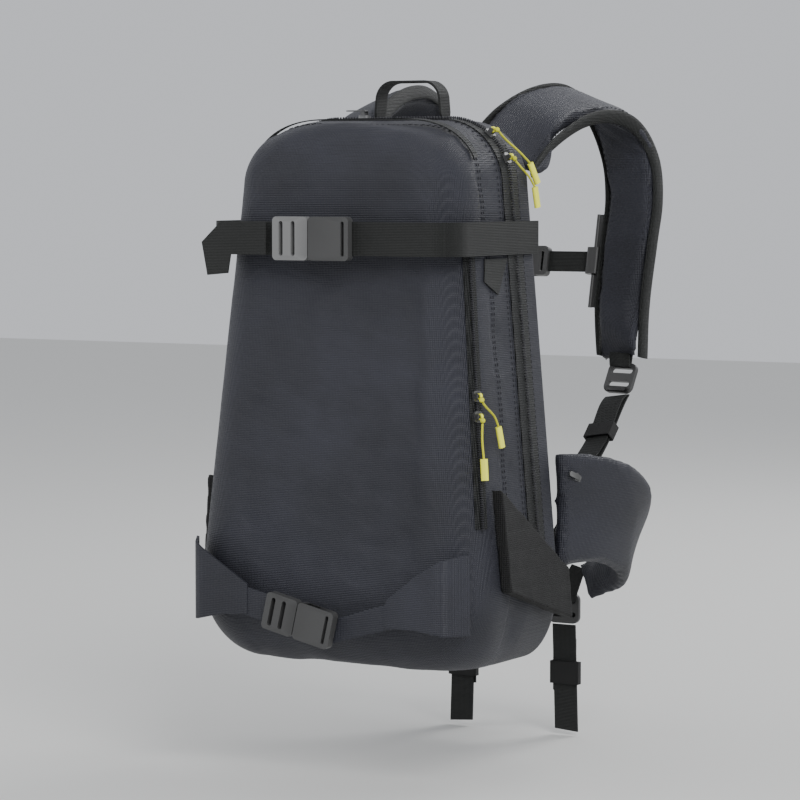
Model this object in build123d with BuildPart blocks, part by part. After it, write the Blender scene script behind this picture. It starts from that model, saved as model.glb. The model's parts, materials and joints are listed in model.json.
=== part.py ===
"""Freeride ski backpack with a snowboard carrier, in millimetres.

The pack is held up by its two shoulder straps.  The origin is midway between the undersides of the
two strap crowns.  +X is the wearer's side that faces right when the pack is seen from its front
panel, +Y points to the wearer, and +Z is up.
"""
import os
from math import cos, pi, radians, sin, tan

from build123d import *

os.makedirs("parts", exist_ok=True)

# ---------------------------------------------------------------- driving dimensions, the bag
back_y = -155.0            # the back panel's plane, where the bag meets the wearer's back
shoulder_z = -72.0         # the straight sides end here and the rounded top starts
top_rise = 60.0            # height and side radius of the rounded top
hip_z = -430.0             # the straight sides end here and the rounded base starts
base_drop = 74.0           # height of the rounded base
shoulder_half_width = 120.0
hip_half_width = 152.0
shoulder_depth = 146.7
hip_depth = 168.8
top_half_width = 60.0      # flat part of the top
top_depth = 110.0
base_half_width = 112.0
base_depth = 125.0
front_radius = 45.0        # upright edges beside the front panel
back_radius = 14.0         # upright edges beside the back panel
fabric = 1.6               # coated nylon with its lining
front_room = 26.0          # depth of the front compartment
crown_turns = (0, 22, 44, 64, 80, 90)

# ---------------------------------------------------------------- driving dimensions, trim
tape = 1.2                 # zip tapes and sewn patches stand this far off the fabric
main_zip_y = back_y - 46.0
main_zip_width = 28.0
main_zip_end_z = -425.0
front_zip_width = 11.0
front_zip_turn = 25.0      # degrees round the front edge
front_zip_top_z = -112.0
front_zip_end_z = -372.0
top_zip_y = back_y - 99.0
top_zip_width = 8.0
webbing = 1.6              # thickness of every woven strap
narrow = 25.0              # width of the harness webbing
wide = 30.0                # width of the upper board strap
board_room = 14.0          # room for a snowboard between the front panel and the straps
running_gap = 0.4          # clearance between pieces that move on each other

# ---------------------------------------------------------------- driving dimensions, harness
pad = 13.0                 # shoulder strap thickness
strap_width = 64.0
wing_pad = 12.0            # hip wing thickness
rail_x = 83.5              # sternum rails run beside the straps' inner edges
rail_axis = (0.0, 0.22, 0.9755)
sternum_z = -145.0
sternum_y = back_y + 199.8
belt_y = back_y + 193.0    # hip webbing in front of the wearer
belt_z = -486.0


def slope_half_width(z):
    """Half the bag's width on its straight sides."""
    share = (shoulder_z - z) / (shoulder_z - hip_z)
    return shoulder_half_width + share * (hip_half_width - shoulder_half_width)


def slope_depth(z):
    """Depth of the bag on its straight sides, from the back panel to the front panel."""
    share = (shoulder_z - z) / (shoulder_z - hip_z)
    return shoulder_depth + share * (hip_depth - shoulder_depth)


def bag_outline(z, half_width, depth, wall):
    """One level section of the bag, drawn in from the outside by the wall."""
    with BuildSketch(Plane.XY.offset(z)) as outline:
        with Locations((0, back_y - (depth + wall) / 2)):
            Rectangle(2 * half_width, depth - wall)
        rows = outline.vertices().group_by(Axis.Y)
        fillet(rows[0], front_radius - wall)
        fillet(rows[-1], back_radius - wall)
    return outline.sketch


def bag_solid(wall):
    """The bag's outer form drawn in by the wall, which is negative for a skin around it."""
    crown = []
    base = []
    for turn in crown_turns:
        reach, rise = cos(radians(turn)), sin(radians(turn))
        side = shoulder_half_width - top_half_width - wall
        front = shoulder_depth - top_depth - wall
        crown.append(bag_outline(shoulder_z + (top_rise - wall) * rise,
                                 top_half_width + side * reach, top_depth + front * reach, wall))
        side = hip_half_width - base_half_width - wall
        front = hip_depth - base_depth - wall
        base.append(bag_outline(hip_z - (base_drop - wall) * rise,
                                base_half_width + side * reach, base_depth + front * reach, wall))
    with BuildPart() as form:
        loft(base)
        loft([base[0], crown[0]], ruled=True)
        loft(crown)
    return form.part


def slanted_slab(near, far):
    """A slab parallel to the leaning front panel, between two distances behind it."""
    with BuildPart() as slab:
        lean_z = (0.0, -520.0)
        corners = [(back_y - slope_depth(z) + gap, z) for gap, z in
                   ((near, lean_z[0]), (far, lean_z[0]), (far, lean_z[1]), (near, lean_z[1]))]
        with BuildSketch(Plane.YZ):
            with BuildLine():
                Polyline(*corners, close=True)
            make_face()
        extrude(amount=200, both=True)
    return slab.part


def write(piece, name):
    """Label one finished piece and write its STEP file."""
    piece.part.label = name
    export_step(piece.part, f"parts/{name}.step")


def write_pair(piece, name):
    """Write a right-hand piece and its mirror image on the left."""
    write(piece, f"{name}_right")
    with BuildPart() as other:
        add(piece.part)
        mirror(about=Plane.YZ, mode=Mode.REPLACE)
    write(other, f"{name}_left")


def write_both(piece, name):
    """Write a right-hand piece and its mirror image as one node of two solids."""
    with BuildPart() as both:
        add(piece.part)
        mirror(about=Plane.YZ)
    write(both, name)


def ribbon(place, points, radius, thickness, side):
    """A strap seen on its edge: a bent line on a plane, given a thickness on one side."""
    with BuildSketch(place) as edge_on:
        with BuildLine():
            FilletPolyline(*points, radius=radius)
            offset(amount=thickness, side=side)
        make_face()
    return edge_on.sketch


# ================================================================ the bag's fabric shells
bag_form = bag_solid(0.0)
bag_room = bag_solid(fabric)
bag_skin = bag_solid(-tape)

with BuildPart() as main_bag:
    add(bag_form)
    add(slanted_slab(front_room, 300.0), mode=Mode.INTERSECT)
    with BuildPart(mode=Mode.PRIVATE) as main_room:
        add(bag_room)
        add(slanted_slab(front_room + fabric, 300.0), mode=Mode.INTERSECT)
    add(main_room.part, mode=Mode.SUBTRACT)
write(main_bag, "main_bag")

with BuildPart() as front_compartment:
    add(bag_form)
    add(slanted_slab(-60.0, front_room), mode=Mode.INTERSECT)
    with BuildPart(mode=Mode.PRIVATE) as front_cavity:
        add(bag_room)
        add(slanted_slab(-60.0, front_room - fabric), mode=Mode.INTERSECT)
    add(front_cavity.part, mode=Mode.SUBTRACT)
write(front_compartment, "front_compartment")


# ================================================================ zips and sewn patches
def skin_band(low, high):
    """A band of tape on the bag's surface between two corners of a box."""
    with BuildPart() as band:
        add(bag_skin)
        with Locations([(Vector(*low) + Vector(*high)) * 0.5]):
            Box(high[0] - low[0], high[1] - low[1], high[2] - low[2], mode=Mode.INTERSECT)
        add(bag_form, mode=Mode.SUBTRACT)
    return band


main_zip = skin_band((-200, main_zip_y - main_zip_width / 2, main_zip_end_z),
                     (200, main_zip_y + main_zip_width / 2, 10))
write(main_zip, "main_zip")

top_zip = skin_band((-200, top_zip_y - top_zip_width / 2, -46),
                    (200, top_zip_y + top_zip_width / 2, 10))
write(top_zip, "top_zip")

front_zip_gap = front_radius * (1 - sin(radians(front_zip_turn)))
with BuildPart() as front_zip:
    add(bag_skin)
    add(slanted_slab(front_zip_gap - front_zip_width / 2, front_zip_gap + front_zip_width / 2),
        mode=Mode.INTERSECT)
    with Locations((200, back_y, (front_zip_top_z + front_zip_end_z) / 2)):
        Box(400, 400, front_zip_top_z - front_zip_end_z, mode=Mode.INTERSECT)
    add(bag_form, mode=Mode.SUBTRACT)
write(front_zip, "front_zip")

# Triangular patches spread the upper board strap's pull into both front edges.
patch_z = -150.0
with BuildPart() as strap_patch:
    add(bag_skin)
    with BuildSketch(Plane.YZ.offset(60)):
        with BuildLine():
            Polyline((back_y - 62, patch_z + 14), (back_y - 104, patch_z + 14),
                     (back_y - 108, patch_z - 6), (back_y - 84, patch_z - 18), close=True)
        make_face()
    extrude(amount=140, mode=Mode.INTERSECT)
    add(bag_form, mode=Mode.SUBTRACT)

# Lids over the carrying panel, sewn between the strap bases and the top seam.
with BuildPart() as strap_yoke:
    with BuildSketch(Plane.XZ.offset(-back_y - 0.1)):
        with Locations((0, -58)):
            Rectangle(214, 44)
        fillet(vertices(), 8)
    extrude(amount=-2.1)
write(strap_yoke, "strap_yoke")

# ================================================================ what stiffens the back
sheet_y = back_y - fabric - 0.4
with BuildPart() as frame_sheet:
    with BuildSketch(Plane.XZ.offset(-sheet_y)):
        with Locations((0, -255)):
            Rectangle(206, 400)
        fillet(vertices(), 30)
        with Locations((0, -150), (0, -360)):
            SlotOverall(110, 26)
    extrude(amount=1.8)
write(frame_sheet, "frame_sheet")

with BuildPart() as frame_stays:
    with BuildSketch(Plane.XZ.offset(-sheet_y + 1.8)):
        with Locations((-78, -255), (78, -255)):
            SlotOverall(376, 13, rotation=90)
    extrude(amount=2.5)
write(frame_stays, "frame_stays")

# A pocket hangs inside the top, open upward to its zip.
with BuildPart() as top_pocket:
    with BuildSketch(Plane.XY.offset(-104)):
        with Locations((0, top_zip_y + 8)):
            Rectangle(170, 24)
        fillet(vertices(), 9)
    extrude(amount=70)
    with BuildSketch(Plane.XY.offset(-103)):
        with Locations((0, top_zip_y + 8)):
            Rectangle(168, 22)
        fillet(vertices(), 8)
    extrude(amount=70, mode=Mode.SUBTRACT)
write(top_pocket, "top_pocket")

with BuildPart() as back_pad:
    with BuildSketch(Plane.XZ.offset(-back_y - 0.1)):
        with BuildLine():
            Polyline((18, -90), (96, -90), (108, -200), (112, -300), (26, -300), close=True)
        make_face()
        fillet(vertices(), 16)
    extrude(amount=-13)
    fillet(faces().sort_by(Axis.Y)[-1].edges(), 5)
write_both(back_pad, "back_pads")

with BuildPart() as lumbar_pad:
    with BuildSketch(Plane.XZ.offset(-back_y - 0.1)):
        with BuildLine():
            Polyline((-112, -312), (112, -312), (114, -400), (92, -452), (-92, -452),
                     (-114, -400), close=True)
        make_face()
        fillet(vertices(), 18)
    extrude(amount=-17)
    fillet(faces().sort_by(Axis.Y)[-1].edges(), 6)
write(lumbar_pad, "lumbar_pad")

# ================================================================ shoulder straps
def section_on(centre, across, along, width, thickness, corner):
    """A rounded strap section: across is the way its width runs, along the way it travels."""
    with BuildSketch(Plane(origin=centre, x_dir=across, z_dir=along)) as section:
        RectangleRounded(width, thickness, corner)
    return section.sketch


def lofted_strap(stations, thickness, corner):
    """A padded strap through stations of centre, width direction and width."""
    sections = []
    count = len(stations)
    for index, (centre, across, width) in enumerate(stations):
        before = Vector(*stations[max(index - 1, 0)][0])
        after = Vector(*stations[min(index + 1, count - 1)][0])
        sections.append(section_on(centre, across, (after - before).normalized(),
                                   width, thickness, corner))
    with BuildPart() as strap:
        loft(sections)
    return strap


strap_stations = (
    ((84, back_y + 3, -47), (0.87, 0, -0.49), 72),
    ((90, back_y + 40, -19), (0.88, 0, -0.47), 68),
    ((97, back_y + 95, 2), (0.90, 0, -0.43), 65),
    ((102, back_y + 150, 6), (0.91, 0, -0.41), 64),
    ((108, back_y + 191, -10), (0.94, -0.12, -0.30), 64),
    ((117, back_y + 209, -46), (0.97, -0.22, -0.10), 64),
    ((122.5, back_y + 206, -86), (0.97, -0.25, 0), 63),
    ((122, back_y + 196, -128), (0.97, -0.25, 0), 62),
    ((121, back_y + 184, -186), (0.97, -0.25, 0), 60),
    ((127, back_y + 172, -238), (0.97, -0.25, 0), 54),
)
shoulder_strap = lofted_strap(strap_stations, pad, 5)
write_pair(shoulder_strap, "shoulder_strap")

# ================================================================ plastic hardware
def ladder_lock(place):
    """A ladder lock on a plane whose x runs along its bars and whose z faces the user."""
    with BuildPart() as lock:
        with BuildSketch(place):
            RectangleRounded(34, 30, 7)
            with Locations((0, 7.2), (0, -6.2)):
                SlotOverall(27, 5, mode=Mode.SUBTRACT)
        extrude(amount=4)
        with BuildSketch(place.offset(4)):
            with Locations((0, -12)):
                SlotOverall(24, 3.4)
        extrude(amount=2)
    return lock


def female_length(strap):
    """How far a buckle's socket reaches from its mouth to its webbing."""
    return strap * 0.8 + 18


def male_length(strap):
    """How far a buckle's plug reaches from the mouth back to its webbing."""
    return strap * 0.8 + 13


def buckle_female(place, strap):
    """The socket of a side-release buckle: x runs from its mouth to its webbing, z faces out."""
    length, broad, thick = female_length(strap), strap + 9, 8.5
    with BuildPart() as socket:
        with BuildSketch(place):
            with Locations((length / 2 + running_gap / 2, 0)):
                RectangleRounded(length - running_gap, broad, 4)
        extrude(amount=thick)
        with BuildSketch(place.offset(2)):
            with Locations((13, 0)):
                Rectangle(27, strap + 0.8)
            with Locations((15, 0)):
                Rectangle(13, broad + 4)
        extrude(amount=4.6, mode=Mode.SUBTRACT)
        with BuildSketch(place):
            with Locations((length - 6, 0)):
                SlotOverall(strap + 1, 3.2, rotation=90)
        extrude(amount=thick, mode=Mode.SUBTRACT)
    return socket


def buckle_male(place, strap):
    """The plug of a side-release buckle, with a ladder for its webbing, on the socket's plane."""
    length, broad, thick = male_length(strap), strap + 9, 8.5
    with BuildPart() as plug:
        with BuildSketch(place):
            with Locations((-(length + running_gap) / 2, 0)):
                RectangleRounded(length - running_gap, broad, 4)
            with Locations((-length * 0.42, 0), (-length * 0.76, 0)):
                SlotOverall(strap + 1, 4.2, rotation=90, mode=Mode.SUBTRACT)
        extrude(amount=thick)
        with BuildSketch(place.offset(2.4)):
            with BuildLine():
                half = strap / 2
                Polyline((-2, -half), (14, -half), (25, -half + 5), (25, -half + 9), (9, -half + 6),
                         (9, -3), (25, -3), (25, 3), (9, 3), (9, half - 6), (25, half - 9),
                         (25, half - 5), (14, half), (-2, half), close=True)
            make_face()
        extrude(amount=3.8)
    return plug


def flat_strap(place, points, thickness=webbing):
    """A flat piece of webbing cut to an outline that lies on a plane."""
    with BuildPart() as strap:
        with BuildSketch(place):
            with BuildLine():
                Polyline(*points, close=True)
            make_face()
        extrude(amount=thickness)
    return strap


def keeper_band(place, inside, outside, height):
    """An elastic loop round a strap: its plane's z runs along the strap."""
    with BuildPart() as band:
        with BuildSketch(place.offset(-height / 2)):
            RectangleRounded(*outside, 1.4)
            RectangleRounded(*inside, 0.6, mode=Mode.SUBTRACT)
        extrude(amount=height)
    return band


# ================================================================ shoulder strap hardware
corner_tab_at = Vector(127.5, back_y + 13, -413)
across_strap = Vector(0.97, -0.25, 0)
lock_line = Vector(0.02, -0.42, -0.90)
lock_out = lock_line.cross(across_strap).normalized()
lock_centre = Vector(129.5, back_y + 167.5, -257)
strap_lock = ladder_lock(Plane(origin=lock_centre, x_dir=across_strap, z_dir=lock_out))
write_both(strap_lock, "strap_ladder_locks")

web_start = lock_centre + lock_line.normalized() * 17.6
web_run = corner_tab_at - web_start
web_turns = ((0.0, (0.97, -0.20, 0.10)), (0.18, (0.97, -0.20, 0.10)), (0.36, (0.97, -0.20, 0.10)),
             (0.6, (0.74, -0.46, 0.44)), (0.8, (0.42, -0.62, 0.64)), (1.0, (0.08, -0.69, 0.72)))
strap_web = lofted_strap([(tuple(web_start + web_run * share), across, narrow)
                          for share, across in web_turns], webbing, 0.5)

web_side = Vector(*web_turns[0][1])
web_out = web_run.cross(web_side).normalized()
tail_start = web_start + web_run * 0.015 + web_out * 3.2
strap_tail = lofted_strap([(tuple(tail_start + web_run * share + web_out * bow), web_side, narrow)
                           for share, bow in ((0.0, 0), (0.1, 2.4), (0.19, 0.4), (0.3, 0.4),
                                              (0.42, 3.5), (0.5, 3.0))], webbing, 0.5)
with BuildPart() as strap_pull:
    add(strap_web.part)
    add(strap_tail.part)
write_both(strap_pull, "strap_webbing")

keeper_at = web_start + web_run * 0.24 + web_out * 1.8
strap_keeper = keeper_band(Plane(origin=keeper_at, x_dir=web_side, z_dir=web_run),
                           (narrow + 2, 8.4), (narrow + 5, 11), 16)
write_both(strap_keeper, "strap_keepers")

with BuildPart() as corner_tab:
    with BuildSketch(Plane.YZ.offset(124.0)):
        with BuildLine():
            Polyline((back_y + 0.2, -402), (back_y + 18, -388), (back_y + 34, -404),
                     (back_y + 0.2, -440), close=True)
        make_face()
    extrude(amount=1.0)
with BuildPart() as seam_patch:
    add(strap_patch.part)
    add(corner_tab.part)
write_both(seam_patch, "seam_patches")

# ================================================================ sternum strap
rail_line = Vector(*rail_axis)
rail_mid = Vector(rail_x, sternum_y, sternum_z)
rail_plane = Plane(origin=rail_mid, x_dir=(1, 0, 0), z_dir=rail_line)
with BuildPart() as sternum_rail:
    with BuildSketch(rail_plane.offset(-46)):
        Circle(2)
        with Locations((5, 0)):
            Rectangle(9, 1.2)
    extrude(amount=92)
write_both(sternum_rail, "sternum_rails")

with BuildPart() as sternum_clip:
    with BuildSketch(rail_plane.offset(-13)):
        with Locations((-1.5, 0)):
            RectangleRounded(13, 9.4, 3)
        Circle(2 + running_gap, mode=Mode.SUBTRACT)
        with Locations((4, 0)):
            Rectangle(8, 2.2, mode=Mode.SUBTRACT)
    extrude(amount=26)
write_both(sternum_clip, "sternum_clips")

sternum_buckle_x = -2.0
sternum_strap = 20.0
chest_face = Plane(origin=(sternum_buckle_x, sternum_y - 1, sternum_z), x_dir=(1, 0, 0),
                   z_dir=rail_line.cross(Vector(1, 0, 0)))
sternum_female = buckle_female(chest_face, sternum_strap)
write(sternum_female, "sternum_buckle_female")
sternum_male = buckle_male(chest_face, sternum_strap)
write(sternum_male, "sternum_buckle_male")

clip_edge = rail_x - 8.0
socket_end = female_length(sternum_strap)
plug_end = -male_length(sternum_strap)
clip_right = clip_edge - sternum_buckle_x
clip_left = -clip_edge - sternum_buckle_x
sternum_face = chest_face.offset(3.4)
half_strap = sternum_strap / 2
sternum_web_right = flat_strap(sternum_face, ((socket_end, -half_strap), (clip_right, -half_strap),
                                              (clip_right, half_strap), (socket_end, half_strap)))
write(sternum_web_right, "sternum_webbing_right")
sternum_web_left = flat_strap(sternum_face, ((plug_end, -half_strap), (clip_left, -half_strap),
                                             (clip_left, half_strap), (plug_end, half_strap)))
write(sternum_web_left, "sternum_webbing_left")

# ================================================================ haul loop
haul_y = back_y - 12.0
haul_half = 34.0           # half the distance between the loop's two feet
haul_foot = 9.0            # half the webbing's width, and the radius its feet turn on
haul_pivot_z = shoulder_z + top_rise + running_gap + haul_foot
with BuildPart() as haul_loop:
    extrude(ribbon(Plane.XZ.offset(-haul_y),
                   ((-haul_half, haul_pivot_z - haul_foot), (-haul_half + 3, haul_pivot_z + 26),
                    (haul_half - 3, haul_pivot_z + 26), (haul_half, haul_pivot_z - haul_foot)),
                   16, 2.2, Side.LEFT), amount=haul_foot, both=True)
    with BuildSketch(Plane.YZ.offset(-60)):
        with BuildLine():
            foot_z = haul_pivot_z
            ThreePointArc((haul_y - haul_foot, foot_z), (haul_y, foot_z - haul_foot),
                          (haul_y + haul_foot, foot_z))
            Polyline((haul_y + haul_foot, foot_z), (haul_y + haul_foot, foot_z + 40),
                     (haul_y - haul_foot, foot_z + 40), (haul_y - haul_foot, foot_z))
        make_face()
    extrude(amount=120, mode=Mode.INTERSECT)
write(haul_loop, "haul_loop")

# ================================================================ hip belt
def tilted(outward, tip_in):
    """Up a wing's section: its top leans outward, its lower edge tucks in."""
    lean = radians(tip_in)
    return (-outward[0] * sin(lean), -outward[1] * sin(lean), -cos(lean))


wing_stations = (
    ((140, back_y + 5, -372), (1.0, 0.0), 4, 118),
    ((152, back_y + 34, -370), (1.0, -0.15), 10, 112),
    ((162, back_y + 72, -376), (1.0, 0.0), 14, 106),
    ((162, back_y + 116, -394), (0.98, 0.3), 18, 92),
    ((146, back_y + 150, -416), (0.75, 0.66), 16, 74),
    ((114, back_y + 175, -438), (0.45, 0.89), 12, 56),
    ((80, back_y + 184, -458), (0.2, 0.98), 6, 40),
)
hip_wing = lofted_strap([(centre, tilted(outward, lean), width)
                         for centre, outward, lean, width in wing_stations], wing_pad, 5)
write_pair(hip_wing, "hip_wing")

# The wing's pocket is a thin outer panel with its zip along the top seam.
lock_x = 56.0
hip_lock = ladder_lock(Plane(origin=(lock_x, belt_y - 4, belt_z), x_dir=(-1, 0, 0),
                             z_dir=(0, 1, 0)))
write_both(hip_lock, "hip_ladder_locks")

with BuildPart() as wing_tab:
    with BuildSketch(Plane.XZ.offset(-(belt_y - 6.0))):
        with BuildLine():
            Polyline((lock_x - narrow / 2, belt_z + 6), (lock_x + narrow / 2, belt_z + 6),
                     (lock_x + narrow / 2 + 12, belt_z + 40), (lock_x + 10, belt_z + 44), close=True)
        make_face()
    extrude(amount=-webbing)
write_both(wing_tab, "hip_wing_tabs")

belt_buckle_x = 2.5
belt_face = Plane(origin=(belt_buckle_x, belt_y + 2.4, belt_z), x_dir=(-1, 0, 0), z_dir=(0, 1, 0))
hip_female = buckle_female(belt_face, narrow)
write(hip_female, "hip_buckle_female")
hip_male = buckle_male(belt_face, narrow)
write(hip_male, "hip_buckle_male")

belt_web_face = Plane(origin=(0, belt_y + 4.2, belt_z), x_dir=(1, 0, 0), z_dir=(0, -1, 0))
belt_end = male_length(narrow) + belt_buckle_x
half_web = narrow / 2
hip_web_right = flat_strap(belt_web_face, ((belt_end, -half_web), (lock_x + half_web, -half_web),
                                           (lock_x + half_web, half_web), (belt_end, half_web)))
write(hip_web_right, "hip_webbing_right")
belt_end = female_length(narrow) - belt_buckle_x
hip_web_left = flat_strap(belt_web_face, ((-belt_end, -half_web), (-lock_x - half_web, -half_web),
                                          (-lock_x - half_web, half_web), (-belt_end, half_web)))
write(hip_web_left, "hip_webbing_left")

# The free ends of the hip webbing hang from the ladder locks, each through a sliding keeper.
tail_top_z = belt_z - 16.4
tail_end_z = -606.0
with BuildPart() as hip_tail:
    with BuildSketch(Plane.XZ.offset(-(belt_y - 2.8))):
        with BuildLine():
            Polyline((lock_x - half_web, tail_top_z), (lock_x + half_web, tail_top_z),
                     (lock_x + half_web + 3, tail_end_z - 2), (lock_x - half_web + 3, tail_end_z),
                     close=True)
        make_face()
    extrude(amount=-webbing)
    with BuildSketch(Plane.XZ.offset(-(belt_y - 1.2))):
        with BuildLine():
            Polyline((lock_x - half_web, tail_top_z - 12), (lock_x + half_web, tail_top_z - 14),
                     (lock_x + half_web, tail_top_z - 66), (lock_x - half_web, tail_top_z - 66),
                     close=True)
        make_face()
    extrude(amount=-webbing)
write_pair(hip_tail, "hip_tail")

keeper_z = -550.0
hip_keeper = keeper_band(Plane(origin=(lock_x + 1.2, belt_y - 1.2, keeper_z), x_dir=(1, 0, 0),
                               z_dir=(0, 0, 1)), (narrow + 4, 5.4), (narrow + 6.4, 7.8), 22)
write_pair(hip_keeper, "hip_keeper")

# A zip runs along the pocket on each wing's outer face.
with BuildPart() as wing_zip:
    add(lofted_strap([(centre, tilted(outward, lean_in), width)
                      for centre, outward, lean_in, width in wing_stations],
                     wing_pad + 2.4, 5).part)
    with BuildSketch(Plane.YZ.offset(100)):
        with BuildLine():
            Polyline((back_y + 8, -328), (back_y + 52, -350), (back_y + 128, -374),
                     (back_y + 128, -384), (back_y + 52, -361), (back_y + 8, -339), close=True)
        make_face()
    extrude(amount=100, mode=Mode.INTERSECT)
    with BuildSketch(Plane.XY.offset(-400)):
        with BuildLine():
            Polyline((146, back_y + 5), (159, back_y + 34), (168, back_y + 72),
                     (168, back_y + 116), (162, back_y + 132), (200, back_y + 132),
                     (200, back_y + 5), close=True)
        make_face()
    extrude(amount=100, mode=Mode.INTERSECT)
    add(hip_wing.part, mode=Mode.SUBTRACT)
write_both(wing_zip, "wing_zips")

# ================================================================ side pockets
lean = (hip_half_width - shoulder_half_width) / (shoulder_z - hip_z)
side_out = Vector(1, 0, lean).normalized()
pocket_face = Plane(origin=(slope_half_width(-400), back_y, -400), x_dir=(0, 1, 0),
                    z_dir=side_out)
pocket_bulge = 11.0
with BuildPart() as side_pocket:
    with BuildSketch(pocket_face.offset(0.1)):
        with BuildLine():
            Polyline((-124, 62), (-6, -20), (-6, -66), (-120, -30), close=True)
        make_face()
    extrude(amount=pocket_bulge)
    with BuildSketch(pocket_face.offset(0.1)):
        with BuildLine():
            Polyline((-122, 70), (-8, -9), (-8, -63), (-118, -27), close=True)
        make_face()
    extrude(amount=pocket_bulge - 1.6, mode=Mode.SUBTRACT)
write_both(side_pocket, "side_pockets")

# ================================================================ upper board strap
board_strap_z = -118.0
board_face_y = back_y - slope_depth(board_strap_z) - board_room
board_side_x = 127.4
board_buckle_x = -16.0
board_plane = Plane(origin=(board_buckle_x, board_face_y, board_strap_z), x_dir=(1, 0, 0),
                    z_dir=(0, -1, 0))
board_female = buckle_female(board_plane, wide)
write(board_female, "board_buckle_female")
board_male = buckle_male(board_plane, wide)
write(board_male, "board_buckle_male")


def board_strap(end_x, side_x, turn):
    """The upper strap from one back seam, along the side and round a board to its buckle."""
    with BuildPart() as strap:
        extrude(ribbon(Plane.XY.offset(board_strap_z - wide / 2),
                       ((end_x, board_face_y), (side_x, board_face_y), (side_x, back_y - 6)),
                       24, webbing, turn), amount=wide)
    return strap


board_right = board_strap(board_buckle_x + female_length(wide), board_side_x, Side.RIGHT)
write(board_right, "board_strap_right")
board_left = board_strap(board_buckle_x - male_length(wide), -board_side_x, Side.LEFT)
with BuildPart() as board_left_with_tail:
    add(board_left.part)
    with BuildSketch(Plane.XZ.offset(-(board_face_y - 3.2))):
        with BuildLine():
            Polyline((-62, board_strap_z + 15), (-110, board_strap_z + 15), (-131, board_strap_z - 4),
                     (-125, board_strap_z - 34), (-103, board_strap_z - 32),
                     (-100, board_strap_z - 15), (-62, board_strap_z - 15), close=True)
        make_face()
    extrude(amount=webbing)
write(board_left_with_tail, "board_strap_left")

# ================================================================ lower board wings
lower_face_y = back_y - slope_depth(-440) - board_room
lower_centre = Vector(-18, lower_face_y, -457)
lower_tilt = radians(13)
lower_along = Vector(cos(lower_tilt), 0, -sin(lower_tilt))
lower_plane = Plane(origin=lower_centre, x_dir=lower_along, z_dir=(0, -1, 0))
lower_female = buckle_female(lower_plane, narrow)
write(lower_female, "lower_buckle_female")
lower_male = buckle_male(lower_plane, narrow)
write(lower_male, "lower_buckle_male")


def lower_wing(outline, web, turn, mirrored):
    """A fabric wing from the bag's front edge, cut to an outline, with its webbing."""
    sign = -1 if mirrored else 1
    with BuildPart() as wing:
        extrude(ribbon(Plane.XY.offset(-490),
                       ((sign * 70, lower_face_y), (sign * 127, lower_face_y),
                        (sign * 141.5, back_y - 158)), 12, 2.4, turn), amount=110)
        with BuildSketch(Plane.XZ.offset(-(lower_face_y - 20))):
            with BuildLine():
                Polyline(*outline, close=True)
            make_face()
        extrude(amount=-60, mode=Mode.INTERSECT)
        add(flat_strap(Plane(origin=(0, lower_face_y - 0.4, 0), x_dir=(1, 0, 0), z_dir=(0, -1, 0)),
                       web).part)
    return wing


right_socket_end = lower_centre + lower_along * female_length(narrow)
left_plug_end = lower_centre - lower_along * male_length(narrow)
across_x, across_z = half_web * sin(lower_tilt), half_web * cos(lower_tilt)
lower_right = lower_wing(((72, -434), (100, -412), (126, -396), (150, -390), (150, -466),
                          (126, -464), (100, -460), (72, -460)),
                         ((right_socket_end.X + across_x, right_socket_end.Z + across_z),
                          (right_socket_end.X - across_x, right_socket_end.Z - across_z),
                          (80, -460), (80, -435)), Side.RIGHT, False)
write(lower_right, "lower_wing_right")
lower_left = lower_wing(((-72, -429), (-100, -412), (-126, -396), (-150, -390), (-150, -466),
                         (-126, -464), (-100, -458), (-72, -456)),
                        ((left_plug_end.X + across_x, left_plug_end.Z + across_z),
                         (left_plug_end.X - across_x, left_plug_end.Z - across_z),
                         (-80, -456), (-80, -430)), Side.LEFT, True)
write(lower_left, "lower_wing_left")

# ================================================================ zip sliders and their pulls
pin_height = 7.2           # the slider's cross pin stands this far off the fabric
pin_radius = 1.0
slider_foot = tape + running_gap


def zip_slider(place):
    """A zip slider on the fabric: x runs along its zip, y along its cross pin, z outward."""
    with BuildPart() as slider:
        with BuildSketch(place.offset(slider_foot)):
            RectangleRounded(10, 8, 2.4)
        extrude(amount=2.6)
        with BuildSketch(place.offset(slider_foot + 2.6)):
            with Locations((0, 3), (0, -3)):
                Rectangle(4, 1.2)
        extrude(amount=pin_height - slider_foot - 1.4)
        pin = Plane(origin=place.origin + place.z_dir * pin_height - place.y_dir * 3.6,
                    x_dir=place.x_dir, z_dir=place.y_dir)
        with BuildSketch(pin):
            Circle(pin_radius)
        extrude(amount=7.2)
    return slider


def knot_and_grip(place, grip_ends):
    """A pull's eye round the cross pin with its knot, and the moulded grip on the cord's end."""
    eye_centre = place.origin + place.z_dir * pin_height
    grip_start, grip_end = Vector(*grip_ends[0]), Vector(*grip_ends[1])
    with BuildPart() as pull:
        eye = Plane(origin=eye_centre - place.y_dir * 1.1, x_dir=place.x_dir, z_dir=place.y_dir)
        with BuildSketch(eye):
            Circle(pin_radius + 1.7)
            Circle(pin_radius + 0.3, mode=Mode.SUBTRACT)
        extrude(amount=2.2)
        with Locations([eye_centre + place.x_dir * 3.5 + place.z_dir * 2.6]):
            Sphere(2.3)
        with BuildSketch(Plane(origin=eye_centre, z_dir=place.y_dir)):
            Circle(pin_radius + 0.3)
        extrude(amount=8, both=True, mode=Mode.SUBTRACT)
        with BuildSketch(Plane(origin=grip_start, z_dir=grip_end - grip_start)):
            SlotOverall(7.0, 4.6)
        extrude(amount=(grip_end - grip_start).length)
    return pull


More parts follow.
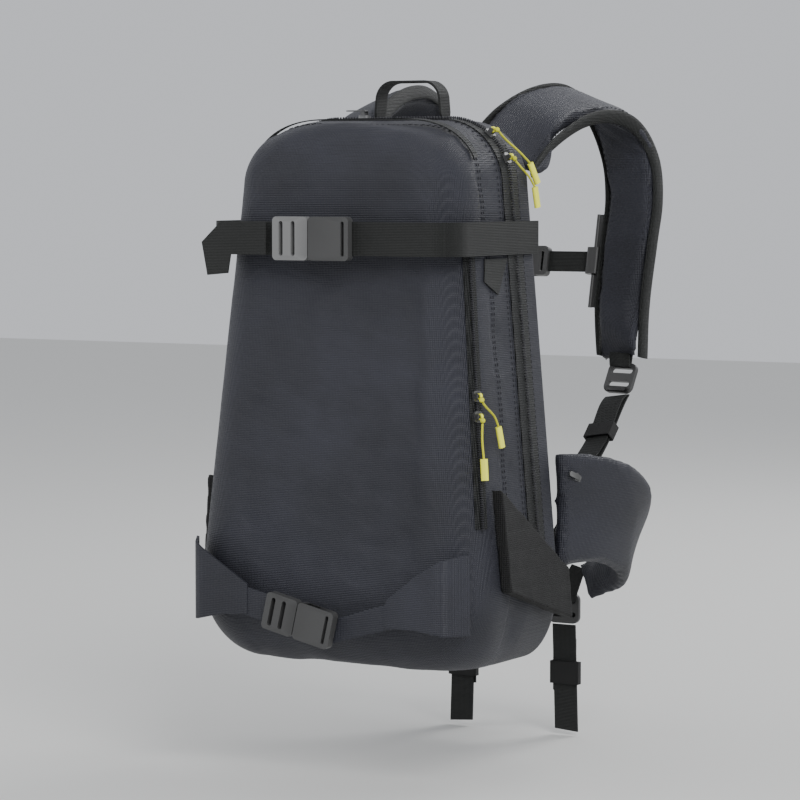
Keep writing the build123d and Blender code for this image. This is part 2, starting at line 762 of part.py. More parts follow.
def cord_tube(route, diameter):
    """A cord along straight runs joined by arcs as large as the runs allow."""
    points = [Vector(*point) for point in route]
    radii = []
    for before, here, after in zip(points, points[1:], points[2:]):
        turn = radians((here - before).get_angle(after - here))
        radii.append(0.45 * min((here - before).length, (after - here).length) / tan(turn / 2))
    with BuildPart() as cord:
        with BuildLine() as path:
            FilletPolyline(*points, radius=radii)
        with BuildSketch(Plane(origin=points[0], z_dir=points[1] - points[0])):
            Circle(diameter / 2)
        sweep()
    return cord


def crown_place(turn):
    """A place on the main zip where it goes round the bag's top right corner."""
    out = Vector(cos(radians(turn)), 0, sin(radians(turn)))
    corner = Vector(top_half_width, main_zip_y, shoulder_z)
    return Plane(origin=corner + out * top_rise, x_dir=(out.Z, 0, -out.X), z_dir=out)


def front_zip_point(z):
    """The front zip's line, round the right front edge."""
    turn = radians(front_zip_turn)
    return Vector(slope_half_width(z) - front_radius * (1 - cos(turn)),
                  back_y - slope_depth(z) + front_zip_gap, z)


front_zip_line = (front_zip_point(hip_z) - front_zip_point(shoulder_z)).normalized()
front_zip_round = Vector(-sin(radians(front_zip_turn)), -cos(radians(front_zip_turn)), 0)
front_zip_out = front_zip_round.cross(front_zip_line).normalized()


def front_place(z):
    """A place on the front zip."""
    return Plane(origin=front_zip_point(z), x_dir=front_zip_line, z_dir=front_zip_out)


pull_cord = 2.0
pulls = (
    ("main_1", crown_place(50), (
        (108.2, -199.2, -22.2), (109.5, -192, -28), (112.5, -182, -34.5), (117, -172, -42),
        (121, -162.5, -51)), ((121, -162.5, -51), (124.5, -154.5, -69))),
    ("main_2", crown_place(24), (
        (125.3, -199.3, -48.5), (125.9, -192, -53.5), (126.4, -183, -58.5), (127, -174, -64),
        (127.9, -166.5, -72.5)), ((127.9, -166.5, -72.5), (129, -163, -91))),
    ("front_1", front_place(-256), (
        (141.3, -289.8, -260.6), (142.4, -285, -265.5), (143.8, -278.5, -270),
        (145, -272, -275.5), (145.4, -268, -283.5)), ((145.4, -268, -283.5), (147.2, -264.5, -302))),
    ("front_2", front_place(-274), (
        (142.7, -292.5, -279.1), (142.9, -293.8, -288.5), (143.8, -294.4, -298.5),
        (144.9, -293.9, -310)), ((144.9, -293.9, -310), (146.4, -294.6, -329))),
)
for name, place, route, grip in pulls:
    slider = zip_slider(place)
    write(slider, f"{name}_slider")
    pull = knot_and_grip(place, grip)
    write(pull, f"{name}_pull")
    cord = cord_tube(route, pull_cord)
    write(cord, f"{name}_pull_cord")

top_slider_place = Plane(origin=(0, top_zip_y, shoulder_z + top_rise), x_dir=(1, 0, 0),
                         z_dir=(0, 0, 1))
with BuildPart() as top_slider:
    add(zip_slider(top_slider_place).part)
    with BuildSketch(top_slider_place.offset(pin_height + 0.5)):
        with Locations((-8, 0)):
            SlotOverall(22, 5)
    extrude(amount=1.2)
write(top_slider, "top_slider")

with BuildPart() as wing_slider:
    wing_slider_place = Plane(origin=(157, back_y + 16, -338), x_dir=(0.22, 1, -0.4),
                              z_dir=(1, -0.22, -0.05))
    with BuildSketch(wing_slider_place.offset(0.4)):
        RectangleRounded(9, 7, 2)
    extrude(amount=2.6)
    with BuildSketch(wing_slider_place.offset(3.0)):
        with Locations((-6, 0)):
            SlotOverall(18, 4.6)
    extrude(amount=1.2)
write_both(wing_slider, "wing_sliders")
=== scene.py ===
"""A freeride ski backpack: fabric, foam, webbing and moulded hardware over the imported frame."""
import json
import math

import bmesh
import bpy
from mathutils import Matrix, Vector, noise
from mathutils.bvhtree import BVHTree


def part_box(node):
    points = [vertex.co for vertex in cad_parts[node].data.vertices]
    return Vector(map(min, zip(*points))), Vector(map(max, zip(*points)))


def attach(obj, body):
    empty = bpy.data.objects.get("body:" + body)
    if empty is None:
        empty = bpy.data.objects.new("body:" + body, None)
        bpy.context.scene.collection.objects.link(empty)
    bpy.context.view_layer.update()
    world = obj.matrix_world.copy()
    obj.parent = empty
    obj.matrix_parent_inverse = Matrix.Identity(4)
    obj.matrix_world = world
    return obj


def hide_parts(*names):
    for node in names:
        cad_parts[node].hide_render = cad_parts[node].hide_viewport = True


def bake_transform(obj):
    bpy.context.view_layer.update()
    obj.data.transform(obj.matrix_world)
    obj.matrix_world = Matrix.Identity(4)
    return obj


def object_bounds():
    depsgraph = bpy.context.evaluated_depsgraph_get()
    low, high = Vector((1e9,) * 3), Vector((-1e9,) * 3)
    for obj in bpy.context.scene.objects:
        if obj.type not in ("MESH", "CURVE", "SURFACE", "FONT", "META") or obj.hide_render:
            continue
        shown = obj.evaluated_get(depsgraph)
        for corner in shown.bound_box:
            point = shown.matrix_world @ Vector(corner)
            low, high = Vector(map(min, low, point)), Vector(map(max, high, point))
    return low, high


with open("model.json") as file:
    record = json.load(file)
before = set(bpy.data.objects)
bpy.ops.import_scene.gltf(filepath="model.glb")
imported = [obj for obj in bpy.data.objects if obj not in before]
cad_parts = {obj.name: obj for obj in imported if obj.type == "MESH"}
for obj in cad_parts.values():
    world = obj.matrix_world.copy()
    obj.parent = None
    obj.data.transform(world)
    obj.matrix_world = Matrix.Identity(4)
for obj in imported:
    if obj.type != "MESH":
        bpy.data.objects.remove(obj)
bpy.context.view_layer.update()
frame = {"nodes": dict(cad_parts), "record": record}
nodes = frame["nodes"]

# The bag's form, in metres, as in the CAD model.
BACK_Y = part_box("main_bag")[1].y
SHOULDER_Z, TOP_RISE = -0.072, 0.060
HIP_Z, BASE_DROP = -0.430, 0.074
SHOULDER_HALF, HIP_HALF, TOP_HALF, BASE_HALF = 0.120, 0.152, 0.060, 0.112
SHOULDER_DEPTH, HIP_DEPTH, TOP_DEPTH, BASE_DEPTH = 0.1467, 0.1688, 0.110, 0.125
FRONT_RADIUS, BACK_RADIUS = 0.045, 0.014
MAIN_ZIP_Y = BACK_Y - 0.046
FRONT_SEAM_Y = BACK_Y - SHOULDER_DEPTH + FRONT_RADIUS
STRAIGHT_STEPS = 84         # level sections along the bag's straight sides
TAPE_LIFT = 0.0013          # zip coils sit on their tape, this far off the fabric


# ---------- materials ----------

def new_material(name, colour, roughness):
    material = bpy.data.materials.new(name)
    material.use_nodes = True
    shader = material.node_tree.nodes["Principled BSDF"]
    shader.inputs["Base Color"].default_value = (*colour, 1)
    shader.inputs["Roughness"].default_value = roughness
    shader.inputs["Specular IOR Level"].default_value = 0.4
    return material, material.node_tree, shader


def tint(tree, shader, colour, scale, spread):
    """Uneven colour: wear and dirt at a large scale."""
    place = tree.nodes.new("ShaderNodeTexCoord")
    cloud = tree.nodes.new("ShaderNodeTexNoise")
    cloud.inputs["Scale"].default_value = scale
    cloud.inputs["Detail"].default_value = 6
    ramp = tree.nodes.new("ShaderNodeValToRGB")
    ramp.color_ramp.elements[0].position = 0.3
    ramp.color_ramp.elements[1].position = 0.72
    ramp.color_ramp.elements[0].color = (*[c * (1 - spread) for c in colour], 1)
    ramp.color_ramp.elements[1].color = (*[c * (1 + spread) for c in colour], 1)
    tree.links.new(place.outputs["Object"], cloud.inputs["Vector"])
    tree.links.new(cloud.outputs["Fac"], ramp.inputs["Fac"])
    tree.links.new(ramp.outputs["Color"], shader.inputs["Base Color"])
    return place


def woven(name, colour, roughness, pitch, relief, spread=0.25, sheen=0.02):
    """Threads crossing at the pitch, with soft creases under them."""
    material, tree, shader = new_material(name, colour, roughness)
    shader.inputs["Sheen Weight"].default_value = sheen
    place = tint(tree, shader, colour, 14, spread)
    stretch = tree.nodes.new("ShaderNodeVectorMath")
    stretch.operation = "SCALE"
    stretch.inputs["Scale"].default_value = 2 * math.pi / pitch
    wave = tree.nodes.new("ShaderNodeVectorMath")
    wave.operation = "SINE"
    total = tree.nodes.new("ShaderNodeVectorMath")
    total.operation = "DOT_PRODUCT"
    total.inputs[1].default_value = (1, 1, 1)
    threads = tree.nodes.new("ShaderNodeBump")
    threads.inputs["Strength"].default_value = 0.6
    threads.inputs["Distance"].default_value = relief
    crease = tree.nodes.new("ShaderNodeTexNoise")
    crease.inputs["Scale"].default_value = 26
    crease.inputs["Detail"].default_value = 3
    folds = tree.nodes.new("ShaderNodeBump")
    folds.inputs["Strength"].default_value = 0.35
    folds.inputs["Distance"].default_value = 0.004
    link = tree.links.new
    link(place.outputs["Object"], stretch.inputs[0])
    link(stretch.outputs["Vector"], wave.inputs[0])
    link(wave.outputs["Vector"], total.inputs[0])
    link(total.outputs["Value"], threads.inputs["Height"])
    link(place.outputs["Object"], crease.inputs["Vector"])
    link(crease.outputs["Fac"], folds.inputs["Height"])
    link(folds.outputs["Normal"], threads.inputs["Normal"])
    link(threads.outputs["Normal"], shader.inputs["Normal"])
    return material


def moulded(name, colour, roughness, grain, metallic=0.0):
    """Fine-grained plastic, rubber or plated metal, with a painted highlight that makes its convex
    edges paler.
    """
    material, tree, shader = new_material(name, colour, roughness)
    shader.inputs["Metallic"].default_value = metallic
    place = tint(tree, shader, colour, 60, 0.25)
    pits = tree.nodes.new("ShaderNodeTexNoise")
    pits.inputs["Scale"].default_value = 1800
    relief = tree.nodes.new("ShaderNodeBump")
    relief.inputs["Strength"].default_value = grain
    relief.inputs["Distance"].default_value = 0.0003
    # Painted highlight: convex edges, found by pointiness, are mixed towards a paler colour.
    edge = tree.nodes.new("ShaderNodeNewGeometry")
    ramp = tree.nodes.new("ShaderNodeValToRGB")
    ramp.color_ramp.elements[0].position = 0.52
    ramp.color_ramp.elements[1].position = 0.62
    painted_edge_highlight = tree.nodes.new("ShaderNodeMix")
    painted_edge_highlight.data_type = "RGBA"
    old = shader.inputs["Base Color"].links[0].from_socket
    link = tree.links.new
    link(place.outputs["Object"], pits.inputs["Vector"])
    link(pits.outputs["Fac"], relief.inputs["Height"])
    link(relief.outputs["Normal"], shader.inputs["Normal"])
    link(edge.outputs["Pointiness"], ramp.inputs["Fac"])
    link(ramp.outputs["Color"], painted_edge_highlight.inputs["Factor"])
    link(old, painted_edge_highlight.inputs["A"])
    # The painted highlight's colour: twice the base colour, plus a little.
    painted_edge_highlight.inputs["B"].default_value = (*[min(1, c * 2 + 0.03) for c in colour], 1)
    link(painted_edge_highlight.outputs["Result"], shader.inputs["Base Color"])
    return material


LOOKS = {
    "nylon": woven("ripstop_nylon", (0.020, 0.021, 0.030), 0.5, 0.0016, 0.00025),
    "zip_tape": woven("zip_tape", (0.009, 0.010, 0.010), 0.55, 0.0022, 0.0006),
    "webbing": woven("webbing", (0.009, 0.010, 0.009), 0.6, 0.0014, 0.0005),
    "elastic": woven("elastic", (0.008, 0.008, 0.008), 0.65, 0.0010, 0.0005),
    "stretch_mesh": woven("stretch_weave", (0.006, 0.006, 0.006), 0.75, 0.0018, 0.0004),
    "spacer_mesh": woven("spacer_mesh", (0.020, 0.021, 0.019), 0.85, 0.0032, 0.0012, 0.3, 0.05),
    "fleece": woven("brushed_fleece", (0.10, 0.10, 0.11), 0.95, 0.0020, 0.0006, 0.1, 0.3),
    "pull_cord": woven("braided_cord", (0.67, 0.66, 0.03), 0.6, 0.0009, 0.0002, 0.12),
    "frame_plastic": moulded("frame_plastic", (0.6, 0.6, 0.58), 0.5, 0.2),
    "alloy": moulded("alloy", (0.7, 0.7, 0.72), 0.35, 0.1, 1.0),
    "black_plastic": moulded("black_acetal", (0.015, 0.015, 0.015), 0.42, 0.3),
    "grey_plastic": moulded("grey_acetal", (0.08, 0.08, 0.08), 0.42, 0.3),
    "slider_metal": moulded("black_nickel", (0.10, 0.10, 0.10), 0.35, 0.15, 0.8),
    "pull_grip": moulded("matt_rubber", (0.62, 0.62, 0.03), 0.6, 0.5),
}
thread = woven("thread", (0.03, 0.03, 0.036), 0.7, 0.0005, 0.0001)
slot_of = {entry["node"]: entry["material_slot"] for entry in frame["record"]["subparts"]}
for name, node in nodes.items():
    node.data.materials.clear()
    node.data.materials.append(LOOKS[slot_of[name]])


# ---------- pieces ----------

def piece_from(name, points, faces, slot, body=None, material=None):
    mesh = bpy.data.meshes.new(name)
    mesh.from_pydata([tuple(p) for p in points], [], faces)
    mesh.materials.append(material or LOOKS[slot])
    for face in mesh.polygons:
        face.use_smooth = True
    piece = bpy.data.objects.new(name, mesh)
    bpy.context.scene.collection.objects.link(piece)
    if body:
        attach(piece, body)
    return piece


def rounded(half, front_y):
    """Points of one level section of the bag, the same count on each."""
    arcs = ((half, BACK_Y, BACK_RADIUS, 0), (-half, BACK_Y, BACK_RADIUS, 90),
            (-half, front_y, FRONT_RADIUS, 180), (half, front_y, FRONT_RADIUS, 270))
    corners = []
    for x, y, radius, start in arcs:
        middle = Vector((x - math.copysign(radius, x), y - radius if y == BACK_Y else y + radius))
        corners.append([middle + radius * Vector((math.cos(a), math.sin(a)))
                        for a in (math.radians(start + 90 * i / 10) for i in range(11))])
    ring = []
    for corner, following in zip(corners, corners[1:] + corners[:1]):
        ring += corner
        gap = following[0] - corner[-1]
        ring += [corner[-1] + gap * i / 34 for i in range(1, 34)]
    return ring


def closing(end):
    """Smaller and smaller rings that close the bag's top or base."""
    centre = sum(end, Vector()) / len(end)
    return [[centre + (p - centre) * share for p in end] for share in (0.8, 0.55, 0.3, 0.05)]


def bag_rings():
    """Level sections from the middle of the base to the middle of the top."""
    levels = []
    for turn in range(90, 0, -6):
        reach, rise = math.cos(math.radians(turn)), math.sin(math.radians(turn))
        levels.append((HIP_Z - BASE_DROP * rise, BASE_HALF + (HIP_HALF - BASE_HALF) * reach,
                       BASE_DEPTH + (HIP_DEPTH - BASE_DEPTH) * reach))
    for i in range(STRAIGHT_STEPS + 1):
        share = 1 - i / STRAIGHT_STEPS
        levels.append((SHOULDER_Z + (HIP_Z - SHOULDER_Z) * share,
                       SHOULDER_HALF + (HIP_HALF - SHOULDER_HALF) * share,
                       SHOULDER_DEPTH + (HIP_DEPTH - SHOULDER_DEPTH) * share))
    for turn in range(5, 91, 5):
        reach, rise = math.cos(math.radians(turn)), math.sin(math.radians(turn))
        levels.append((SHOULDER_Z + TOP_RISE * rise, TOP_HALF + (SHOULDER_HALF - TOP_HALF) * reach,
                       TOP_DEPTH + (SHOULDER_DEPTH - TOP_DEPTH) * reach))
    rings = [[Vector((p.x, p.y, z)) for p in rounded(half, BACK_Y - depth)]
             for z, half, depth in levels]
    return closing(rings[0])[::-1] + rings + closing(rings[-1])


def sag(point):
    """How far the fabric is drawn in at a point: creases and slack, none by the zips."""
    clear = min(1, max(0, (abs(point.y - MAIN_ZIP_Y) - 0.020) / 0.025))
    if point.y > MAIN_ZIP_Y:
        return 0.0          # the frame sheet holds the back panel flat
    front = BACK_Y - point.y - SHOULDER_DEPTH + FRONT_RADIUS
    if front > 0 and abs(point.x) > 0.09:
        clear *= 0.15
    creases = noise.fractal(Vector((point.x * 9, point.y * 14, point.z * 17)), 0.9, 2.0, 4)
    pull = noise.noise(Vector((point.x * 5, point.y * 6, point.z * 5 + 3)))
    return clear * (0.0035 * abs(creases) + 0.004 * max(0, pull))


rings = bag_rings()
count = len(rings[0])
points = [p for ring in rings for p in ring]
faces = [(i * count + j, i * count + (j + 1) % count, (i + 1) * count + (j + 1) % count,
          (i + 1) * count + j) for i in range(len(rings) - 1) for j in range(count)]
faces.append(tuple(range(count))[::-1])
faces.append(tuple(range((len(rings) - 1) * count, len(rings) * count)))
shell = piece_from("bag_shell", points, faces, "nylon")
normals = [v.normal.copy() for v in shell.data.vertices]
for vertex, normal in zip(shell.data.vertices, normals):
    vertex.co -= normal * sag(vertex.co)
shell.modifiers.new("Smooth", "SUBSURF").render_levels = 1
shell_surface = BVHTree.FromPolygons([v.co.copy() for v in shell.data.vertices],
                                     [tuple(f.vertices) for f in shell.data.polygons])
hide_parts("main_bag", "front_compartment")
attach(shell, "pack")


def soft_copy(name, source, slot, voxel, crease=0.0):
    """A CAD soft solid's copy in an even mesh, ready to swell or crease."""
    mesh = nodes[source].data.copy()
    piece = bpy.data.objects.new(name, mesh)
    bpy.context.scene.collection.objects.link(piece)
    edit = bmesh.new()
    edit.from_mesh(mesh)
    bmesh.ops.remove_doubles(edit, verts=edit.verts, dist=1e-6)
    edit.to_mesh(mesh)
    edit.free()
    remesh = piece.modifiers.new("Remesh", "REMESH")
    remesh.mode = "VOXEL"
    remesh.voxel_size = voxel
    smooth = piece.modifiers.new("Smooth", "SMOOTH")
    smooth.iterations = 8 if voxel > 0.003 else 2
    graph = bpy.context.evaluated_depsgraph_get()
    done = bpy.data.meshes.new_from_object(piece.evaluated_get(graph))
    piece.modifiers.clear()
    piece.data = done
    done.materials.clear()
    done.materials.append(LOOKS[slot])
    normals = [v.normal.copy() for v in done.vertices]
    for vertex, normal in zip(done.vertices, normals):
        fold = noise.fractal(vertex.co * 28, 0.9, 2.0, 3)
        vertex.co -= normal * (crease * abs(fold))
    for face in done.polygons:
        face.use_smooth = True
    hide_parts(source)
    return piece


def swell(pieces, cap):
    """Cloth with inner pressure, applied, each point kept within the cap of where it began."""
    scene = bpy.context.scene
    for piece in pieces:
        settings = piece.modifiers.new("Cloth", "CLOTH").settings
        settings.use_pressure = True
        settings.uniform_pressure_force = 4
        settings.effector_weights.gravity = 0
    scene.frame_start, scene.frame_end = 1, 20
    for number in range(1, 21):
        scene.frame_set(number)
    graph = bpy.context.evaluated_depsgraph_get()
    for piece in pieces:
        ends = [v.co.copy() for v in piece.evaluated_get(graph).data.vertices]
        piece.modifiers.clear()
        for vertex, end in zip(piece.data.vertices, ends):
            move = end - vertex.co
            if move.length > cap:
                move *= cap / move.length
            vertex.co += move
    scene.frame_set(1)


padded = []
for name, slot in (("shoulder_strap_right", "nylon"), ("shoulder_strap_left", "nylon"),
                   ("hip_wing_right", "nylon"), ("hip_wing_left", "nylon"),
                   ("back_pads", "spacer_mesh"), ("lumbar_pad", "spacer_mesh")):
    padded.append(soft_copy(name + "_foam", name, slot, 0.0045))
swell(padded, 0.003)
for piece in padded:
    subdivide = piece.modifiers.new("Smooth", "SUBSURF")
    subdivide.levels = subdivide.render_levels = 1
    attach(piece, "pack")

for name, slot, crease in (("side_pockets", "stretch_mesh", 0.0006), ("strap_yoke", "nylon", 0.0004),
                           ("lower_wing_right", "nylon", 0.0004), ("top_pocket", "fleece", 0.0)):
    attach(soft_copy(name + "_cloth", name, slot, 0.0016, crease=crease), "pack")


def blended(source, start, end):
    """A strap's copy cut across its run at planes between two points."""
    mesh = nodes[source].data.copy()
    edit = bmesh.new()
    edit.from_mesh(mesh)
    bmesh.ops.remove_doubles(edit, verts=edit.verts, dist=1e-6)
    start, end = Vector(start), Vector(end)
    for i in range(13):
        bmesh.ops.bisect_plane(edit, geom=edit.verts[:] + edit.edges[:] + edit.faces[:],
                               plane_co=start.lerp(end, i / 12), plane_no=end - start)
    edit.to_mesh(mesh)
    edit.free()
    piece = bpy.data.objects.new(source + "_web", mesh)
    bpy.context.scene.collection.objects.link(piece)
    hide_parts(source)
    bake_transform(piece)
    return piece


def middle(node):
    lowest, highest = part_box(node)
    return (lowest + highest) / 2


for source, slot, parent, child, plug in (
        ("sternum_webbing_left", "webbing", "chest", "chest_plug", "sternum_buckle_male"),
        ("hip_webbing_right", "webbing", "pack", "belt_plug", "hip_buckle_male"),
        ("board_strap_left", "webbing", "pack", "board_plug", "board_buckle_male"),
        ("lower_wing_left", "nylon", "pack", "lower_plug", "lower_buckle_male")):
    lowest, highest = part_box(source)
    side = math.copysign(1, middle(source).x - middle(plug).x)
    near = highest.x if side < 0 else lowest.x
    far = lowest.x if side < 0 else highest.x
    reach = near + (far - near) * 0.6
    y, z = middle(plug).y, middle(plug).z
    blended(source, (reach, y, z), (near + (far - near) * 0.12, y, z))


# ---------- cords ----------

PULLS = {
    "main_1": (0.0486, ((0.1082, -0.1992, -0.0222), (0.1095, -0.192, -0.028),
                        (0.1125, -0.182, -0.0345), (0.117, -0.172, -0.042),
                        (0.121, -0.1625, -0.051))),
    "main_2": (0.0410, ((0.1253, -0.1993, -0.0485), (0.1259, -0.192, -0.0535),
                        (0.1264, -0.183, -0.0585), (0.127, -0.174, -0.064),
                        (0.1279, -0.1665, -0.0725))),
    "front_1": (0.0324, ((0.1413, -0.2898, -0.2606), (0.1424, -0.285, -0.2655),
                         (0.1438, -0.2785, -0.270), (0.145, -0.272, -0.2755),
                         (0.1454, -0.268, -0.2835))),
    "front_2": (0.0311, ((0.1427, -0.2925, -0.2791), (0.1429, -0.2938, -0.2885),
                         (0.1438, -0.2944, -0.2985), (0.1449, -0.2939, -0.310))),
}
CORD = 0.002
for name, (length, route) in PULLS.items():
    curve = bpy.data.curves.new(name + "_cord", "CURVE")
    curve.dimensions = "3D"
    curve.bevel_depth = CORD / 2
    curve.bevel_resolution = 4
    line = curve.splines.new("NURBS")
    line.points.add(len(route) - 1)
    for place, point in zip(line.points, route):
        place.co = (*point, 1)
    line.order_u = 3
    line.use_endpoint_u = True
    line.resolution_u = 16
    curve.materials.append(LOOKS["pull_cord"])
    cord = bpy.data.objects.new(name + "_cord", curve)
    bpy.context.scene.collection.objects.link(cord)
    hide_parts(name + "_pull_cord")
    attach(cord, name + "_tag")


# ---------- stitching ----------

def on_shell(outside, inward):
    """The fabric's point and outward normal met from outside."""
    place, normal, _, _ = shell_surface.ray_cast(outside, inward)
    if place is None:
        return None
    if normal.dot(inward) > 0:
        normal = -normal
    return place, normal


def over_side(y, side, lowest=HIP_Z):
    """A line up one side of the bag and over its shoulder, at a distance from the back."""
    line = []
    z = lowest
    while z < SHOULDER_Z:
        line.append(on_shell(Vector((side * 0.3, y, z)), Vector((-side, 0, 0))))
        z += 0.0025
    for turn in range(0, 91, 2):
        out = Vector((side * math.cos(math.radians(turn)), 0, math.sin(math.radians(turn))))
        corner = Vector((side * TOP_HALF, y, SHOULDER_Z))
        line.append(on_shell(corner + out * 0.2, -out))
    x = TOP_HALF
    while x > 0:
        line.append(on_shell(Vector((side * x, y, 0.1)), Vector((0, 0, -1))))
        x -= 0.003
    return [entry for entry in line if entry]


def sew(name, lines, body="pack", stride=0.0042, length=0.0029, radius=0.00038):
    """One mesh of separate stitches laid along lines of (point, normal)."""
    points, faces = [], []
    for line in lines:
        travelled = 0.0
        for (before, _), (here, normal) in zip(line, line[1:]):
            step = (here - before).length
            if step > 0.02:
                continue
            travelled += step
            if travelled < stride:
                continue
            travelled = 0.0
            along = (here - before).normalized()
            across = normal.cross(along).normalized()
            base = len(points)
            for place, size in ((-0.5, 0.45), (-0.2, 1), (0.2, 1), (0.5, 0.45)):
                for turn in range(6):
                    angle = math.pi * turn / 3
                    rim = across * math.cos(angle) + normal * math.sin(angle)
                    points.append(here + normal * radius * 0.7 + along * length * place
                                  + rim * radius * size)
            for ring in range(3):
                for turn in range(6):
                    a = base + ring * 6 + turn
                    b = base + ring * 6 + (turn + 1) % 6
                    faces.append((a, b, b + 6, a + 6))
            faces.append(tuple(base + turn for turn in range(5, -1, -1)))
            faces.append(tuple(base + 18 + turn for turn in range(6)))
    return piece_from(name, points, faces, "webbing", body, thread)


seam_lines = []
for side in (-1, 1):
    for y in (MAIN_ZIP_Y - 0.0165, MAIN_ZIP_Y - 0.0205, MAIN_ZIP_Y + 0.0165,
              FRONT_SEAM_Y + 0.006, FRONT_SEAM_Y + 0.010):
        seam_lines.append(over_side(y, side))
sew("bag_stitches", seam_lines)


def raised(line, lift):
    """A line moved out along its normals."""
    return [(point + normal * lift, normal) for point, normal in line]


coils = [raised(over_side(MAIN_ZIP_Y, side), TAPE_LIFT) for side in (-1, 1)]
edge_turn = math.radians(25)
edge_normal = Vector((math.cos(edge_turn), -math.sin(edge_turn), 0))
front_coil = []
for step in range(131):
    z = -0.112 - step * 0.002
    share = (SHOULDER_Z - z) / (SHOULDER_Z - HIP_Z)
    half = SHOULDER_HALF + share * (HIP_HALF - SHOULDER_HALF)
    depth = SHOULDER_DEPTH + share * (HIP_DEPTH - SHOULDER_DEPTH)
    front_coil.append((Vector((half - FRONT_RADIUS * (1 - math.cos(edge_turn)),
                               BACK_Y - depth + FRONT_RADIUS * (1 - math.sin(edge_turn)), z))
                       + edge_normal * TAPE_LIFT, edge_normal))
sew("zip_coils", coils + [front_coil], stride=0.0016, length=0.0012, radius=0.0017)

# The shoulder straps: centre from the back panel, way across, width.
STRAP = (((0.084, 0.003, -0.047), (0.87, 0, -0.49), 0.072),
         ((0.090, 0.040, -0.019), (0.88, 0, -0.47), 0.068),
         ((0.097, 0.095, 0.002), (0.90, 0, -0.43), 0.065),
         ((0.102, 0.150, 0.006), (0.91, 0, -0.41), 0.064),
         ((0.108, 0.191, -0.010), (0.94, -0.12, -0.30), 0.064),
         ((0.117, 0.209, -0.046), (0.97, -0.22, -0.10), 0.064),
         ((0.1225, 0.206, -0.086), (0.97, -0.25, 0), 0.063),
         ((0.122, 0.196, -0.128), (0.97, -0.25, 0), 0.062),
         ((0.121, 0.184, -0.186), (0.97, -0.25, 0), 0.060),
         ((0.127, 0.172, -0.238), (0.97, -0.25, 0), 0.054))


def strap_frames(side, steps=14):
    """Centre, way across, outward normal and width at even steps along a shoulder strap."""
    rows = [(Vector((c[0] * side, BACK_Y + c[1], c[2])), Vector((a[0] * side, a[1], a[2])), w)
            for c, a, w in STRAP]
    frames = []
    for i in range(len(rows) - 1):
        before, here, there, after = (rows[max(i - 1, 0)][0], rows[i][0], rows[i + 1][0],
                                      rows[min(i + 2, len(rows) - 1)][0])
        for j in range(steps):
            s = j / steps
            centre = 0.5 * (2 * here + (there - before) * s
                            + (2 * before - 5 * here + 4 * there - after) * s * s
                            + (3 * here - before - 3 * there + after) * s ** 3)
            tangent = (there - before + 2 * (2 * before - 5 * here + 4 * there - after) * s
                       + 3 * (3 * here - before - 3 * there + after) * s * s).normalized()
            across = rows[i][1].lerp(rows[i + 1][1], s).normalized()
            normal = across.cross(tangent).normalized() * side
            frames.append((centre, across, normal, rows[i][2] + (rows[i + 1][2] - rows[i][2]) * s))
    return frames


def strap_line(frames, surface, share, face):
    """A line along a strap's outer or inner face, at a share of its half width."""
    line = []
    for centre, across, normal, width in frames:
        start = centre + across * share * width / 2 + normal * face * 0.03
        place, found, _, _ = surface.ray_cast(start, -normal * face)
        if place:
            line.append((place, normal * face))
    return line


for side, name in ((1, "shoulder_strap_right"), (-1, "shoulder_strap_left")):
    foam = bpy.data.objects[name + "_foam"]
    surface = BVHTree.FromPolygons([v.co.copy() for v in foam.data.vertices],
                                   [tuple(f.vertices) for f in foam.data.polygons])
    frames = strap_frames(side)
    lines = [strap_line(frames, surface, share, face)
             for share in (-0.78, 0.78) for face in (-1, 1)]
    sew(name + "_stitches", lines)
    for share in (-1, 1):
        edge, skin = [], []
        for centre, across, normal, width in frames[3:]:
            middle_edge = centre + across * share * (width / 2 - 0.0014)
            for turn in range(10):
                angle = 2 * math.pi * turn / 10
                edge.append(middle_edge + across * math.cos(angle) * 0.0024
                            + normal * math.sin(angle) * 0.0072)
        for ring in range(len(frames) - 4):
            for turn in range(10):
                a, b = ring * 10 + turn, ring * 10 + (turn + 1) % 10
                skin.append((a, b, b + 10, a + 10))
        piece_from(f"{name}_binding_{'in' if share < 0 else 'out'}", edge, skin, "webbing", "pack")

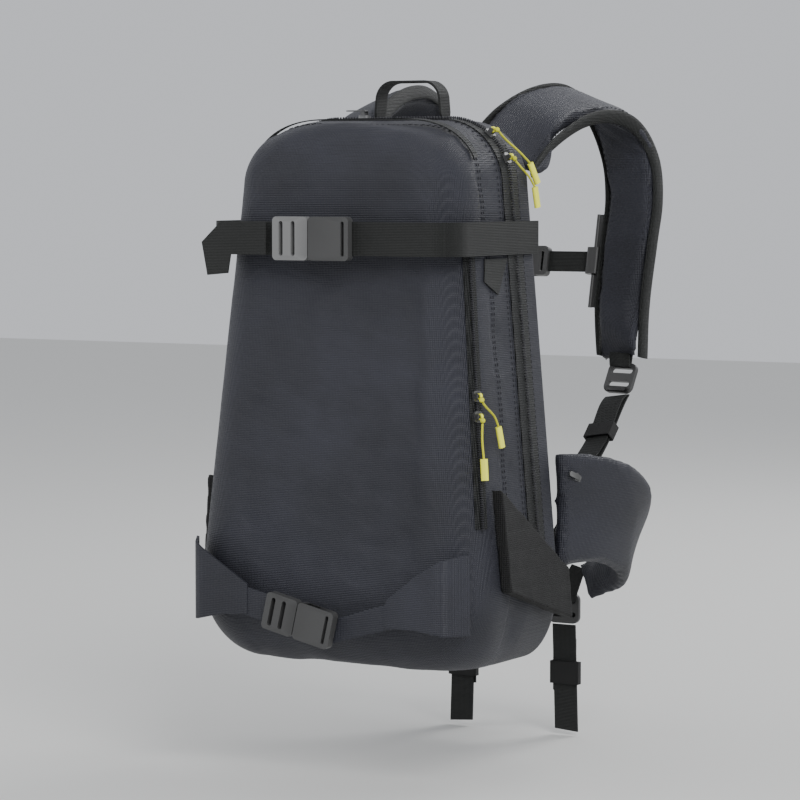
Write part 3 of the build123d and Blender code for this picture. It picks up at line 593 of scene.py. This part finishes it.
# The folded webbing that holds each ladder lock to its strap's end.
for side in (-1, 1):
    lock = [v.co for v in nodes["strap_ladder_locks"].data.vertices if v.co.x * side > 0]
    top = max(lock, key=lambda point: point.z).z
    centre = sum(lock, Vector()) / len(lock)
    bar = Vector((centre.x, centre.y, top - 0.003))
    root = Vector((side * 0.1255, BACK_Y + 0.1745, -0.222))
    across = Vector((0.97 * side, -0.25, 0)).normalized()
    out = across.cross(bar - root).normalized()
    points, faces = [], []
    for step in range(25):
        share = step / 24
        lift = math.cos(math.pi * share) * 0.0026
        along = root.lerp(bar, math.sin(math.pi * share))
        for way in (-1, 1):
            for thick in (0, 0.0013):
                points.append(along + across * way * 0.0125 + out * (lift + thick))
    for step in range(24):
        a = step * 4
        faces += [(a, a + 2, a + 6, a + 4), (a + 1, a + 5, a + 7, a + 3),
                  (a, a + 4, a + 5, a + 1), (a + 2, a + 3, a + 7, a + 6)]
    piece_from(f"lock_loop_{'left' if side < 0 else 'right'}", points, faces, "webbing", "pack")


# ---------- stage, light, camera ----------

floor_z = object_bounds()[0].z - 0.004
bpy.ops.mesh.primitive_plane_add(size=12, location=(0, 0, floor_z))
floor = bpy.context.object
floor.name = "floor"
pale, _, _ = new_material("floor", (0.72, 0.72, 0.70), 0.9)
floor.data.materials.append(pale)

world = bpy.data.worlds.new("studio")
bpy.context.scene.world = world
world.use_nodes = True
world.node_tree.nodes["Background"].inputs["Color"].default_value = (0.93, 0.95, 1, 1)
world.node_tree.nodes["Background"].inputs["Strength"].default_value = 0.7


def lamp(name, place, aim, size, power):
    light = bpy.data.lights.new(name, "AREA")
    light.size = size
    light.energy = power
    holder = bpy.data.objects.new(name, light)
    holder.location = place
    holder.rotation_euler = (Vector(aim) - Vector(place)).to_track_quat("-Z", "Y").to_euler()
    bpy.context.scene.collection.objects.link(holder)


lamp("key", (2.0, -2.0, 1.6), (0, -0.15, -0.28), 1.4, 62)
lamp("fill", (-2.2, -1.6, 0.8), (0, -0.15, -0.28), 2.0, 16)
lamp("rim", (0.6, 2.2, 1.4), (0, -0.15, -0.28), 1.2, 30)

AZIMUTH, ELEVATION, DISTANCE = math.radians(30), math.radians(4), 3.0
right = Vector((math.cos(AZIMUTH), math.sin(AZIMUTH), 0))
back = Vector((math.sin(AZIMUTH) * math.cos(ELEVATION), -math.cos(AZIMUTH) * math.cos(ELEVATION),
               math.sin(ELEVATION)))
aim = right * -0.095 + Vector((0, 0, -0.281)) + back * 0.13
camera = bpy.data.cameras.new("camera")
camera.lens = 144
holder = bpy.data.objects.new("camera", camera)
holder.location = aim + back * DISTANCE
holder.rotation_euler = (-back).to_track_quat("-Z", "Y").to_euler()
bpy.context.scene.collection.objects.link(holder)
bpy.context.scene.camera = holder
